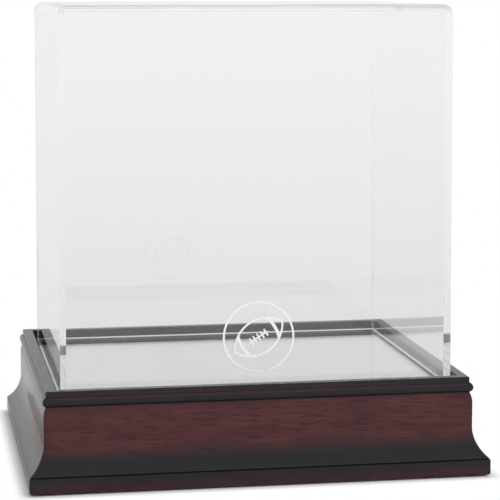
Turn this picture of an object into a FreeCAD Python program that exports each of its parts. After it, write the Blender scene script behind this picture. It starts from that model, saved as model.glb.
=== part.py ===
"""Football display case: a clear acrylic cover that lifts off a mitred wooden base with a mirror floor.

Millimetres, +Z up. The origin is on the ground under the middle of the base. The front faces -Y, and +X
runs to the right along it.
"""

import FreeCAD, Part

import math
import os

import Sketcher

# Driving sizes: name, value in millimetres, what it measures
SIZES = (
    ("plinth_width", 216.0, "outside width of the base, at its plinth"),
    ("plinth_depth", 183.0, "outside depth of the base, at its plinth"),
    ("moulding_height", 45.5, "height of the base mouldings"),
    ("moulding_thickness", 20.0, "from the plinth's outer face to the moulding's inner face"),
    ("plinth_band", 7.2, "height of the plinth's upright face"),
    ("plinth_round", 0.8, "rounding of the plinth's bottom edge"),
    ("shoulder_inset", 0.45, "width of the eased shoulder on top of the plinth"),
    ("shoulder_rise", 0.6, "height of that shoulder"),
    ("cove_height", 14.3, "height of the cove, from the shoulder to the flat field"),
    ("field_inset", 7.2, "from the plinth's outer face in to the flat field"),
    ("field_drop", 12.3, "from the rim's top down to where the field rolls in to the groove"),
    ("bead_drop", 4.9, "from the rim's top down to the bead's centre"),
    ("bead_radius", 2.5, "radius of the bead"),
    ("bead_proud", 0.3, "how far the bead stands out from the field"),
    ("groove_depth", 1.5, "from the bead's crest in to the groove under it"),
    ("rim_setback", 1.25, "from the field in to the rim's outer face"),
    ("rim_width", 5.05, "width of the rim"),
    ("rim_round", 0.6, "rounding of the rim's outer edge"),
    ("rim_ease", 0.4, "rounding of the rim's inner edge"),
    ("recess_depth", 4.0, "from the rim's top down to the mirror"),
    ("mirror_sheet", 3.0, "thickness of the mirror"),
    ("mirror_margin", 0.55, "how far the mirror reaches out past the cover's foot, on each side"),
    ("tape_thickness", 0.8, "thickness of the tape under the mirror"),
    ("tape_width", 12.0, "width of a tape strip"),
    ("tape_end_margin", 20.0, "from the rim to the end of a tape strip"),
    ("tape_edge_margin", 14.0, "from the rim to the side of an outer tape strip"),
    ("deck_sheet", 6.0, "thickness of the deck board"),
    ("deck_clearance", 0.4, "gap between the deck board and the rim, on each side"),
    ("bottom_sheet", 3.0, "thickness of the bottom board"),
    ("bottom_setback", 0.5, "from the mouldings' underside up to the bottom board"),
    ("bottom_rabbet", 5.0, "width of the rabbet that holds the bottom board"),
    ("bottom_clearance", 0.4, "gap between the bottom board and its rabbet, on each side"),
    ("block_leg", 24.0, "side of a corner block along the moulding"),
    ("block_height", 20.0, "height of a corner block"),
    ("nail_leg", 6.0, "length of each leg of a V-nail"),
    ("nail_sheet", 0.6, "thickness of a V-nail's strip"),
    ("nail_height", 10.0, "height of a V-nail"),
    ("nail_sink", 1.0, "how far a V-nail is driven below the moulding's underside"),
    ("nail_outer_inset", 8.0, "from the plinth's outer face to the outer V-nail"),
    ("nail_inner_inset", 12.5, "from the plinth's outer face to the inner V-nail"),
    ("nail_fit", 0.05, "clearance round a V-nail"),
    ("screw_diameter", 3.0, "diameter of a bottom board screw"),
    ("screw_length", 14.0, "length of the screw, head included"),
    ("screw_tip", 3.0, "length of the screw's pointed end"),
    ("screw_point", 0.4, "diameter of the blunt point"),
    ("screw_head", 5.8, "diameter of the countersunk head"),
    ("screw_head_height", 1.6, "height of the countersunk head"),
    ("screw_sink", 0.2, "how far the head lies below the bottom board's face"),
    ("screw_slot", 0.8, "width of the cross recess in the head"),
    ("screw_slot_length", 3.2, "length of each arm of the cross recess"),
    ("screw_slot_depth", 0.9, "depth of the cross recess"),
    ("screw_fit", 0.1, "clearance round a screw"),
    ("foot_height", 0.8, "height of a rubber foot"),
    ("foot_diameter", 12.0, "diameter of a foot where it is stuck on"),
    ("foot_taper", 0.6, "how much a foot narrows to its sole, on each side"),
    ("foot_inset", 8.0, "from the plinth's outer faces in to the centre of a foot"),
    ("cover_height", 177.8, "height of the clear cover"),
    ("cover_sheet", 3.0, "thickness of the acrylic sheet"),
    ("cover_bend", 4.5, "outside radius of the bends along the top edges"),
    ("cover_splay", 1.0, "how far each side wall leans out from its bend to its foot"),
    ("cover_side_gap", 2.2, "gap between the foot of a side wall and the rim"),
    ("cover_end_gap", 2.9, "gap between the front or back panel and the rim"),
    ("cover_seat_gap", 0.1, "gap between the standing cover and the mirror"),
    ("bond_gap", 0.1, "thickness of the bond between a cover panel and the bent sheet"),
    ("panel_ease", 0.15, "eased outer edges of the cover's front and back panels"),
)

# Levels and spans that several pieces share
RIM_TOP = "(Dim.foot_height + Dim.moulding_height)"
MIRROR_TOP = f"({RIM_TOP} - Dim.recess_depth)"
TAPE_TOP = f"({MIRROR_TOP} - Dim.mirror_sheet)"
DECK_TOP = f"({TAPE_TOP} - Dim.tape_thickness)"
DECK_BOTTOM = f"({DECK_TOP} - Dim.deck_sheet)"
BOARD_BOTTOM = "(Dim.foot_height + Dim.bottom_setback)"
BOARD_TOP = f"({BOARD_BOTTOM} + Dim.bottom_sheet)"
RIM_OUTER = "(Dim.field_inset + Dim.rim_setback)"
RIM_INNER = f"({RIM_OUTER} + Dim.rim_width)"
RECESS_WIDTH = f"(Dim.plinth_width - 2 * {RIM_INNER})"
RECESS_DEPTH = f"(Dim.plinth_depth - 2 * {RIM_INNER})"
COVER_FOOT = f"({RECESS_WIDTH} / 2 - Dim.cover_side_gap)"
COVER_SIDE = f"({COVER_FOOT} - Dim.cover_splay)"
COVER_DEPTH = f"({RECESS_DEPTH} - 2 * Dim.cover_end_gap)"
COVER_BOTTOM = f"({MIRROR_TOP} + Dim.cover_seat_gap)"
COVER_TOP = f"({COVER_BOTTOM} + Dim.cover_height)"
SCREW_BOTTOM = f"({BOARD_BOTTOM} + Dim.screw_sink)"

# The corners of the base, each with its side in X, its side in Y and its turn from the front left
CORNERS = (
    ("front_left", -1, -1, 0),
    ("front_right", 1, -1, 90),
    ("back_right", 1, 1, 180),
    ("back_left", -1, 1, 270),
)
UP = FreeCAD.Vector(0, 0, 1)


def write_sizes(doc):
    """Put the driving sizes in the document's sheet, one aliased cell each."""
    sheet = doc.addObject("Spreadsheet::Sheet", "Dim")
    for row, (name, value, meaning) in enumerate(SIZES, start=1):
        sheet.set(f"A{row}", name)
        sheet.set(f"B{row}", str(value))
        sheet.set(f"C{row}", meaning)
        sheet.setAlias(f"B{row}", name)
    doc.recompute()


def bind(item, **expressions):
    """Tie properties of a document object to the sheet; a double underscore stands for a dot."""
    for name, expression in expressions.items():
        item.setExpression(name.replace("__", "."), expression)


def turn_about_z(item, angle):
    """Turn an object about the vertical through the origin."""
    item.Placement = FreeCAD.Placement(FreeCAD.Vector(), FreeCAD.Rotation(UP, angle))


# Sketches and features

def new_body(doc, label):
    """Add an empty body with its own label."""
    body = doc.addObject("PartDesign::Body", label)
    body.Label = label
    return body


def new_sketch(body, name, role, offset="0"):
    """Add a sketch on one of the body's origin planes, moved along the plane's normal."""
    sketch = body.newObject("Sketcher::SketchObject", name)
    plane = next(item for item in body.Origin.OriginFeatures if item.Role == role)
    sketch.AttachmentSupport = [(plane, "")]
    sketch.MapMode = "FlatFace"
    bind(sketch, AttachmentOffset__Base__z=offset)
    return sketch


def arc_between(start, end, radius, bulge):
    """Arc from start to end, anticlockwise where bulge is 1 and clockwise where it is -1."""
    chord = end - start
    across = FreeCAD.Vector(-chord.y, chord.x, 0).normalize()
    height = math.sqrt(radius ** 2 - (chord.Length / 2) ** 2)
    centre = (start + end) * 0.5 + across * (bulge * height)
    first, last = (start, end) if bulge > 0 else (end, start)
    low = math.atan2(first.y - centre.y, first.x - centre.x)
    high = math.atan2(last.y - centre.y, last.x - centre.x)
    if high < low:
        high += 2 * math.pi
    return Part.ArcOfCircle(Part.Circle(centre, UP, radius), low, high)


def tie(sketch, label, expression, kind, *references):
    """Add a named dimension to a sketch and bind it to the sheet."""
    value = sketch.evalExpression(expression)
    index = sketch.addConstraint(Sketcher.Constraint(kind, *references, value))
    sketch.renameConstraint(index, label)
    sketch.setExpression(f"Constraints.{label}", expression)


def add_outline(sketch, corners, arcs=None):
    """Draw one closed anticlockwise outline, with every corner and radius bound to the sheet.

    corners holds (name, x, y), and arcs gives (radius, bulge) for the corner that an arc starts from:
    a bulge of 1 swells out of the outline, and -1 bites into it.
    """
    arcs = arcs or {}
    points = [FreeCAD.Vector(sketch.evalExpression(x), sketch.evalExpression(y), 0) for _, x, y in corners]
    first = sketch.GeometryCount
    ends = []
    for index, (name, _, _) in enumerate(corners):
        start, end = points[index], points[(index + 1) % len(points)]
        if name in arcs:
            radius, bulge = arcs[name]
            sketch.addGeometry(arc_between(start, end, sketch.evalExpression(radius), bulge))
            ends.append((1, 2) if bulge > 0 else (2, 1))
        else:
            sketch.addGeometry(Part.LineSegment(start, end))
            ends.append((1, 2))
    for index in range(len(corners)):
        after = (index + 1) % len(corners)
        joined = (first + index, ends[index][1], first + after, ends[after][0])
        sketch.addConstraint(Sketcher.Constraint("Coincident", *joined))
    for index, (name, x, y) in enumerate(corners):
        place = (-1, 1, first + index, ends[index][0])
        tie(sketch, f"{name}_x", x, "DistanceX", *place)
        tie(sketch, f"{name}_y", y, "DistanceY", *place)
        if name in arcs:
            tie(sketch, f"{name}_radius", arcs[name][0], "Radius", first + index)


def add_rectangle(sketch, name, left, right, low, high):
    """Draw one rectangle between two x and two y expressions."""
    add_outline(sketch, (
        (f"{name}_a", left, low),
        (f"{name}_b", right, low),
        (f"{name}_c", right, high),
        (f"{name}_d", left, high),
    ))


def add_pad(body, sketch, length, side="One side"):
    """Raise a sketch along its normal, or to both sides of its plane."""
    feature = body.newObject("PartDesign::Pad", f"{sketch.Name}_pad")
    feature.Profile = sketch
    feature.SideType = side
    bind(feature, Length=length)
    body.Document.recompute()
    return feature


def add_pocket(body, sketch, length):
    """Cut a sketch into the body along the sketch's normal, and make sure that it removed something."""
    before = body.Shape.Volume
    feature = body.newObject("PartDesign::Pocket", f"{sketch.Name}_pocket")
    feature.Profile = sketch
    feature.Reversed = True
    bind(feature, Length=length)
    body.Document.recompute()
    if body.Shape.Volume >= before:
        raise RuntimeError(f"{feature.Label} cut nothing from {body.Label}")


# Primitives

def add_box(doc, label, width, depth, height, bottom, x="0", y="0"):
    """Add a box by its sizes, the middle of its plan and its underside."""
    box = doc.addObject("Part::Box", label)
    box.Label = label
    bind(
        box,
        Length=width,
        Width=depth,
        Height=height,
        Placement__Base__x=f"{x} - {width} / 2",
        Placement__Base__y=f"{y} - {depth} / 2",
        Placement__Base__z=bottom,
    )
    return box


def add_round(doc, label, lower, upper, height, bottom, x, y):
    """Add an upright cone, or a cylinder where both its diameters are the same."""
    kind, radii = "Part::Cone", {"Radius1": f"{lower} / 2", "Radius2": f"{upper} / 2"}
    if lower == upper:
        kind, radii = "Part::Cylinder", {"Radius": f"{lower} / 2"}
    item = doc.addObject(kind, label)
    item.Label = label
    bind(
        item,
        **radii,
        Height=height,
        Placement__Base__x=x,
        Placement__Base__y=y,
        Placement__Base__z=bottom,
    )
    return item


def add_union(doc, label, shapes):
    """Fuse several shapes into one solid."""
    union = doc.addObject("Part::MultiFuse", label)
    union.Label = label
    union.Shapes = shapes
    return union


def add_cut(doc, label, base, tool):
    """Cut one shape out of another."""
    cut = doc.addObject("Part::Cut", label)
    cut.Label = label
    cut.Base = base
    cut.Tool = tool
    return cut


def add_group(doc, label, shapes):
    """Hold several separate solids as one piece of the part."""
    group = doc.addObject("Part::Compound", label)
    group.Label = label
    group.Links = shapes
    return group


def repeat_at_corners(doc, label, shapes):
    """Repeat what stands at the front left corner at all four, as one group of solids."""
    corner = add_group(doc, f"{label}_corner", shapes)
    across = doc.addObject("Part::Mirroring", f"{label}_across")
    across.Source = corner
    across.Normal = FreeCAD.Vector(1, 0, 0)
    front = add_group(doc, f"{label}_front", [corner, across])
    behind = doc.addObject("Part::Mirroring", f"{label}_behind")
    behind.Source = front
    behind.Normal = FreeCAD.Vector(0, 1, 0)
    return add_group(doc, label, [front, behind])


# Base mouldings

def moulding_profile(sketch, half_span):
    """Draw the moulding's section, from the plinth's outer face at minus half_span inwards."""

    def inset(distance):
        return f"-{half_span} + {distance}"

    def level(height):
        return f"Dim.foot_height + {height}"

    def below_rim(drop):
        return f"{RIM_TOP} - ({drop})"

    thickness = "Dim.moulding_thickness"
    rabbet_side = f"({thickness} - Dim.bottom_rabbet)"
    shoulder = "(Dim.plinth_band + Dim.shoulder_rise)"
    bead_rise = "sqrt(Dim.bead_radius^2 - (Dim.bead_radius - Dim.bead_proud - Dim.rim_setback)^2)"
    bead_fall = "sqrt(Dim.bead_radius^2 - (Dim.bead_radius - Dim.groove_depth)^2)"
    groove = "(Dim.field_inset - Dim.bead_proud + Dim.groove_depth)"
    cove_width = "(Dim.field_inset - Dim.shoulder_inset)"
    roll_width = "(Dim.groove_depth - Dim.bead_proud)"
    roll_height = f"(Dim.field_drop - Dim.bead_drop - {bead_fall})"
    add_outline(
        sketch,
        (
            ("plinth_foot", inset("Dim.plinth_round"), level("0")),
            ("rabbet_edge", inset(rabbet_side), level("0")),
            ("rabbet_corner", inset(rabbet_side), BOARD_TOP),
            ("inner_bottom", inset(thickness), BOARD_TOP),
            ("ledge_edge", inset(thickness), DECK_BOTTOM),
            ("ledge_corner", inset(RIM_INNER), DECK_BOTTOM),
            ("rim_inner", inset(RIM_INNER), below_rim("Dim.rim_ease")),
            ("rim_flat_inner", inset(f"{RIM_INNER} - Dim.rim_ease"), RIM_TOP),
            ("rim_flat_outer", inset(f"{RIM_OUTER} + Dim.rim_round"), RIM_TOP),
            ("rim_outer", inset(RIM_OUTER), below_rim("Dim.rim_round")),
            ("bead_top", inset(RIM_OUTER), below_rim(f"Dim.bead_drop - {bead_rise}")),
            ("groove", inset(groove), below_rim(f"Dim.bead_drop + {bead_fall}")),
            ("field_top", inset("Dim.field_inset"), below_rim("Dim.field_drop")),
            ("field_bottom", inset("Dim.field_inset"), level(f"{shoulder} + Dim.cove_height")),
            ("shoulder", inset("Dim.shoulder_inset"), level(shoulder)),
            ("plinth_top", inset("0"), level("Dim.plinth_band")),
            ("plinth_low", inset("0"), level("Dim.plinth_round")),
        ),
        {
            "rim_inner": ("Dim.rim_ease", 1),
            "rim_flat_outer": ("Dim.rim_round", 1),
            "bead_top": ("Dim.bead_radius", 1),
            "groove": (f"({roll_height}^2 + {roll_width}^2) / (2 * {roll_width})", 1),
            "field_bottom": (f"(Dim.cove_height^2 + {cove_width}^2) / (2 * {cove_width})", -1),
            "plinth_low": ("Dim.plinth_round", 1),
        },
    )


def cut_mitres(body, length, half_span):
    """Cut both ends of a moulding back at 45 degrees."""
    sketch = new_sketch(body, f"{body.Name}_mitres", "XY_Plane")
    outer = f"-{half_span}"
    inner = f"-{half_span} + Dim.moulding_thickness"
    end = f"{length} / 2"
    add_outline(sketch, (
        ("left_tip", f"-{end}", outer),
        ("left_inner", f"-{end} + Dim.moulding_thickness", inner),
        ("left_end", f"-{end}", inner),
    ))
    add_outline(sketch, (
        ("right_tip", end, outer),
        ("right_end", end, inner),
        ("right_inner", f"{end} - Dim.moulding_thickness", inner),
    ))
    add_pocket(body, sketch, RIM_TOP)


def cut_nail_slots(body, length, half_span):
    """Cut the slots that the V-nails' legs fill, at both ends of a moulding."""
    sketch = new_sketch(body, f"{body.Name}_slots", "XY_Plane", "Dim.foot_height")
    side = "(Dim.nail_sheet / 2 + Dim.nail_fit)"
    reach = "(Dim.nail_leg + Dim.nail_fit)"
    for name in ("outer", "inner"):
        nail = f"Dim.nail_{name}_inset"
        low, high = f"-{half_span} + {nail} - {side}", f"-{half_span} + {nail} + {side}"
        near, far = f"({length} / 2 - {nail} + {side})", f"({length} / 2 - {nail} - {reach})"
        add_rectangle(sketch, f"left_{name}", f"-{near}", f"-{far}", low, high)
        add_rectangle(sketch, f"right_{name}", far, near, low, high)
    add_pocket(body, sketch, "Dim.nail_sink + Dim.nail_height + Dim.nail_fit")


def make_moulding(doc, label, length, span, angle):
    """One mitred moulding, made along the front and turned to its side of the base."""
    body = new_body(doc, label)
    half_span = f"{span} / 2"
    sketch = new_sketch(body, f"{label}_profile", "YZ_Plane")
    moulding_profile(sketch, half_span)
    add_pad(body, sketch, length, "Symmetric")
    cut_mitres(body, length, half_span)
    cut_nail_slots(body, length, half_span)
    turn_about_z(body, angle)
    return body


def make_mouldings(doc):
    """The four sides of the base."""
    width, depth = "Dim.plinth_width", "Dim.plinth_depth"
    return [
        make_moulding(doc, "front_moulding", width, depth, 0),
        make_moulding(doc, "right_moulding", depth, width, 90),
        make_moulding(doc, "back_moulding", width, depth, 180),
        make_moulding(doc, "left_moulding", depth, width, 270),
    ]


def make_v_nails(doc):
    """Two V-nails in each mitre, each with one leg along either moulding."""
    nails = []
    for name in ("outer", "inner"):
        nail = f"Dim.nail_{name}_inset"
        reach = "(Dim.nail_leg + Dim.nail_sheet / 2)"
        shift = "(Dim.nail_leg - Dim.nail_sheet / 2) / 2"
        bottom = "Dim.foot_height + Dim.nail_sink"
        x, y = f"-Dim.plinth_width / 2 + {nail}", f"-Dim.plinth_depth / 2 + {nail}"
        sizes = ("Dim.nail_height", bottom)
        along_x = add_box(doc, f"nail_{name}_x", reach, "Dim.nail_sheet", *sizes, f"{x} + {shift}", y)
        along_y = add_box(doc, f"nail_{name}_y", "Dim.nail_sheet", reach, *sizes, x, f"{y} + {shift}")
        nails.append(add_union(doc, f"nail_{name}", [along_x, along_y]))
    return repeat_at_corners(doc, "mitre_v_nails", nails)


# Floor of the case

def make_deck(doc):
    """Fibreboard deck that lies on the mouldings' ledges."""
    width = f"({RECESS_WIDTH} - 2 * Dim.deck_clearance)"
    depth = f"({RECESS_DEPTH} - 2 * Dim.deck_clearance)"
    return add_box(doc, "deck_board", width, depth, "Dim.deck_sheet", DECK_BOTTOM)


def make_tape(doc):
    """Three strips of mounting tape that hold the mirror on the deck."""
    length = f"({RECESS_WIDTH} - 2 * Dim.tape_end_margin)"
    reach = f"({RECESS_DEPTH} / 2 - Dim.tape_edge_margin - Dim.tape_width / 2)"
    strips = []
    for name, y in (("front", f"-{reach}"), ("middle", "0"), ("back", reach)):
        sizes = (length, "Dim.tape_width", "Dim.tape_thickness", DECK_TOP)
        strips.append(add_box(doc, f"tape_{name}", *sizes, y=y))
    return add_group(doc, "mirror_tape", strips)


def make_mirror(doc):
    """The mirror under the cover, with an open groove between it and the rim."""
    width = f"(2 * ({COVER_FOOT} + Dim.mirror_margin))"
    depth = f"({COVER_DEPTH} + 2 * Dim.mirror_margin)"
    return add_box(doc, "mirror_plate", width, depth, "Dim.mirror_sheet", TAPE_TOP)


# Underside of the base

def block_screw_place():
    """The screw of the front left corner, at the middle of that corner block's triangle."""
    reach = "Dim.moulding_thickness + Dim.block_leg / 3"
    return f"-Dim.plinth_width / 2 + {reach}", f"-Dim.plinth_depth / 2 + {reach}"


def make_corner_block(doc, corner, side_x, side_y, angle):
    """Three-cornered glue block in one inside corner, bored for its screw."""
    body = new_body(doc, f"corner_block_{corner}")
    triangle = new_sketch(body, f"{body.Name}_triangle", "XY_Plane", BOARD_TOP)
    add_outline(triangle, (
        ("corner", "0", "0"),
        ("leg_x", "Dim.block_leg", "0"),
        ("leg_y", "0", "Dim.block_leg"),
    ))
    add_pad(body, triangle, "Dim.block_height")
    bore = new_sketch(body, f"{body.Name}_bore", "XY_Plane", BOARD_TOP)
    centre = bore.evalExpression("Dim.block_leg / 3")
    bore.addGeometry(Part.Circle(FreeCAD.Vector(centre, centre, 0), UP, 1))
    tie(bore, "bore_x", "Dim.block_leg / 3", "DistanceX", -1, 1, 0, 3)
    tie(bore, "bore_y", "Dim.block_leg / 3", "DistanceY", -1, 1, 0, 3)
    tie(bore, "bore_radius", "Dim.screw_diameter / 2 + Dim.screw_fit", "Radius", 0)
    add_pocket(body, bore, f"{SCREW_BOTTOM} + Dim.screw_length + Dim.screw_fit - {BOARD_TOP}")
    turn_about_z(body, angle)
    bind(
        body,
        Placement__Base__x=f"{side_x} * (Dim.plinth_width / 2 - Dim.moulding_thickness)",
        Placement__Base__y=f"{side_y} * (Dim.plinth_depth / 2 - Dim.moulding_thickness)",
    )
    return body


def make_bottom_board(doc):
    """Hardboard panel in the bottom rabbet, with a countersunk hole under each corner block."""
    x, y = block_screw_place()
    shank = "(Dim.screw_diameter + 2 * Dim.screw_fit)"
    head = "(Dim.screw_head + 2 * Dim.screw_fit)"
    hole = add_union(doc, "board_hole", [
        add_round(doc, "board_mouth", head, head, "Dim.screw_sink", BOARD_BOTTOM, x, y),
        add_round(doc, "board_countersink", head, shank, "Dim.screw_head_height", SCREW_BOTTOM, x, y),
        add_round(doc, "board_bore", shank, shank, "Dim.bottom_sheet", BOARD_BOTTOM, x, y),
    ])
    holes = repeat_at_corners(doc, "board_holes", [hole])
    opening = "2 * (Dim.moulding_thickness - Dim.bottom_rabbet + Dim.bottom_clearance)"
    width, depth = f"(Dim.plinth_width - {opening})", f"(Dim.plinth_depth - {opening})"
    sheet = add_box(doc, "bottom_sheet", width, depth, "Dim.bottom_sheet", BOARD_BOTTOM)
    return add_cut(doc, "bottom_board", sheet, holes)


def make_screws(doc):
    """The four countersunk screws that hold the bottom board to the corner blocks."""
    x, y = block_screw_place()
    shank = "Dim.screw_diameter"
    shank_bottom = f"{SCREW_BOTTOM} + Dim.screw_head_height"
    shank_length = "Dim.screw_length - Dim.screw_head_height - Dim.screw_tip"
    tip_bottom = f"{SCREW_BOTTOM} + Dim.screw_length - Dim.screw_tip"
    blank = add_union(doc, "screw_blank", [
        add_round(doc, "screw_cone", "Dim.screw_head", shank, "Dim.screw_head_height", SCREW_BOTTOM, x, y),
        add_round(doc, "screw_shank", shank, shank, shank_length, shank_bottom, x, y),
        add_round(doc, "screw_end", shank, "Dim.screw_point", "Dim.screw_tip", tip_bottom, x, y),
    ])
    arm = ("Dim.screw_slot_length", "Dim.screw_slot")
    place = ("Dim.screw_slot_depth", SCREW_BOTTOM, x, y)
    recess = add_union(doc, "screw_recess", [
        add_box(doc, "screw_arm_x", *arm, *place),
        add_box(doc, "screw_arm_y", *reversed(arm), *place),
    ])
    return repeat_at_corners(doc, "bottom_board_screws", [add_cut(doc, "screw", blank, recess)])


def make_foot(doc, corner, side_x, side_y):
    """Stick-on rubber foot under one corner of the base."""
    x = f"{side_x} * (Dim.plinth_width / 2 - Dim.foot_inset)"
    y = f"{side_y} * (Dim.plinth_depth / 2 - Dim.foot_inset)"
    sole = "(Dim.foot_diameter - 2 * Dim.foot_taper)"
    return add_round(doc, f"foot_{corner}", sole, "Dim.foot_diameter", "Dim.foot_height", "0", x, y)


# Clear cover

def make_cover_wrap(doc):
    """The bent sheet that makes the cover's left wall, top and right wall; both walls lean out a little."""
    body = new_body(doc, "cover_wrap")
    sketch = new_sketch(body, "cover_wrap_profile", "XZ_Plane")
    wall, foot = f"({COVER_SIDE} - Dim.cover_sheet)", f"({COVER_FOOT} - Dim.cover_sheet)"
    bend_x, bend_z = f"({COVER_SIDE} - Dim.cover_bend)", f"{COVER_TOP} - Dim.cover_bend"
    ceiling = f"{COVER_TOP} - Dim.cover_sheet"
    inner_bend = "Dim.cover_bend - Dim.cover_sheet"
    add_outline(
        sketch,
        (
            ("left_foot", f"-{COVER_FOOT}", COVER_BOTTOM),
            ("left_foot_inner", f"-{foot}", COVER_BOTTOM),
            ("left_bend_inner", f"-{wall}", bend_z),
            ("ceiling_left", f"-{bend_x}", ceiling),
            ("ceiling_right", bend_x, ceiling),
            ("right_bend_inner", wall, bend_z),
            ("right_foot_inner", foot, COVER_BOTTOM),
            ("right_foot", COVER_FOOT, COVER_BOTTOM),
            ("right_bend", COVER_SIDE, bend_z),
            ("top_right", bend_x, COVER_TOP),
            ("top_left", f"-{bend_x}", COVER_TOP),
            ("left_bend", f"-{COVER_SIDE}", bend_z),
        ),
        {
            "left_bend_inner": (inner_bend, -1),
            "ceiling_right": (inner_bend, -1),
            "right_bend": ("Dim.cover_bend", 1),
            "top_left": ("Dim.cover_bend", 1),
        },
    )
    add_pad(body, sketch, f"{COVER_DEPTH} - 2 * (Dim.cover_sheet + Dim.bond_gap)", "Symmetric")
    return body


def make_cover_panel(doc, label, angle):
    """Flat panel with the bent sheet's outline, made as the front one and turned to its side."""
    body = new_body(doc, label)
    sketch = new_sketch(body, f"{label}_outline", "XZ_Plane", f"{COVER_DEPTH} / 2 - Dim.cover_sheet")
    bend_x, bend_z = f"({COVER_SIDE} - Dim.cover_bend)", f"{COVER_TOP} - Dim.cover_bend"
    add_outline(
        sketch,
        (
            ("left_foot", f"-{COVER_FOOT}", COVER_BOTTOM),
            ("right_foot", COVER_FOOT, COVER_BOTTOM),
            ("right_bend", COVER_SIDE, bend_z),
            ("top_right", bend_x, COVER_TOP),
            ("top_left", f"-{bend_x}", COVER_TOP),
            ("left_bend", f"-{COVER_SIDE}", bend_z),
        ),
        {"right_bend": ("Dim.cover_bend", 1), "top_left": ("Dim.cover_bend", 1)},
    )
    pad = add_pad(body, sketch, "Dim.cover_sheet")
    faces = pad.Shape.Faces
    outermost = min(range(len(faces)), key=lambda index: faces[index].CenterOfMass.y)
    ease = body.newObject("PartDesign::Chamfer", f"{label}_ease")
    ease.Base = (pad, [f"Face{outermost + 1}"])
    bind(ease, Size="Dim.panel_ease")
    turn_about_z(body, angle)
    return body


# Whole case

def make_case(doc):
    """Every piece of the case, each with the label that names its file."""
    pieces = make_mouldings(doc)
    pieces += [make_v_nails(doc), make_deck(doc), make_tape(doc), make_mirror(doc)]
    pieces += [make_corner_block(doc, *corner) for corner in CORNERS]
    pieces += [make_bottom_board(doc), make_screws(doc)]
    pieces += [make_foot(doc, name, side_x, side_y) for name, side_x, side_y, _ in CORNERS]
    pieces += [
        make_cover_wrap(doc),
        make_cover_panel(doc, "cover_front_panel", 0),
        make_cover_panel(doc, "cover_back_panel", 180),
    ]
    return pieces


def check_document(doc, pieces):
    """Raise if any object failed to compute or any piece has no valid solid."""
    for item in doc.Objects:
        if "Invalid" in item.State or "Error" in item.State:
            raise RuntimeError(f"{item.Label} failed: {item.State}")
    for piece in pieces:
        if piece.Shape.isNull() or not piece.Shape.isValid() or not piece.Shape.Solids:
            raise RuntimeError(f"{piece.Label} has no valid solid")


def main():
    """Build the document, check it and write one file for each piece."""
    doc = FreeCAD.newDocument("football_display_case")
    write_sizes(doc)
    pieces = make_case(doc)
    doc.recompute()
    check_document(doc, pieces)
    os.makedirs("parts", exist_ok=True)
    for piece in pieces:
        piece.Shape.exportStep(f"parts/{piece.Label}.step")


main()
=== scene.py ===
"""Football display case: a clear lift-off cover on a mahogany-finished base with a mirror floor.

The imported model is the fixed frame.  Each sub-assembly below is a class that holds its sizes, makes the
smooth show surfaces that stand for faceted solids, and dresses the frame's own nodes.  Fields are in
millimetres and degrees except where a class says otherwise, and meshes are in metres.
"""
import logging
import math
from dataclasses import dataclass
from enum import Enum
from typing import Any, Sequence

import bpy
import numpy as np
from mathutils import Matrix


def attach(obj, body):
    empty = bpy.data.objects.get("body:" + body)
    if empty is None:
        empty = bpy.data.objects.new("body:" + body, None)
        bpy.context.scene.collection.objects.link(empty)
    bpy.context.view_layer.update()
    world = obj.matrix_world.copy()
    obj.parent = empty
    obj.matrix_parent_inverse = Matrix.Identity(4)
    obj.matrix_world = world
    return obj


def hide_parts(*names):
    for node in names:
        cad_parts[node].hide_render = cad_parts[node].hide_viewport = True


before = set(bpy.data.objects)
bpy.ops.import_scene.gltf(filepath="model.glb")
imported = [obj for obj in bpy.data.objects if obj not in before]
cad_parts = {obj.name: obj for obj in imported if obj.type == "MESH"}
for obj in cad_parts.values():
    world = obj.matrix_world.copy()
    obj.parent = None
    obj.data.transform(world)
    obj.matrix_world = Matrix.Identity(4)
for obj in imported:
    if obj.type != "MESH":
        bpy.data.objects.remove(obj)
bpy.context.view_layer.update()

LOG = logging.getLogger("display_case")
MM = 0.001
SHARP_EDGE = math.radians(28.0)
WHITE = (1.0, 1.0, 1.0, 1.0)
# Most values of a noise lie in this range.
NOISE_RANGE = (0.3, 0.7)
# Settings that a kind of node gets where none are given.
USUAL = {"MapRange": {"interpolation_type": "SMOOTHSTEP"}, "Mix": {"data_type": "RGBA"}}
Pair = tuple[float, float]
Triple = tuple[float, float, float]
Tree = bpy.types.NodeTree
Socket = bpy.types.NodeSocket
Node = bpy.types.Node
Piece = bpy.types.Object
Material = bpy.types.Material


class Body(str, Enum):
    """The two rigid bodies of the case."""

    BASE = "base"
    COVER = "cover"


# Small helpers for colours, nodes and meshes

def linear(colour: str) -> tuple[float, float, float, float]:
    """Turns an sRGB hex colour into linear light.

    Args:
        colour: a hash and six hex digits.

    Returns:
        Red, green and blue in linear light, and a full alpha.
    """
    code = np.array([int(colour[at:at + 2], 16) for at in (1, 3, 5)]) / 255.0
    light = np.where(code <= 0.04045, code / 12.92, ((code + 0.055) / 1.055) ** 2.4)
    red, green, blue = light.tolist()
    return red, green, blue, 1.0


def fill(tree: Tree, node: Node, sockets: dict[Any, Any] | Sequence[Any]) -> None:
    """Sets or links a node's inputs.

    Args:
        tree: the node tree.
        node: the node that takes them.
        sockets: what feeds each input, by name or number or else in order: a constant, an output socket,
            or a node, which stands for its first output in use.
    """
    for key, value in sockets.items() if isinstance(sockets, dict) else enumerate(sockets):
        if isinstance(value, Node):
            value = next(output for output in value.outputs if output.enabled)
        if isinstance(value, Socket):
            tree.links.new(value, node.inputs[key])
        else:
            node.inputs[key].default_value = value


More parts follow.
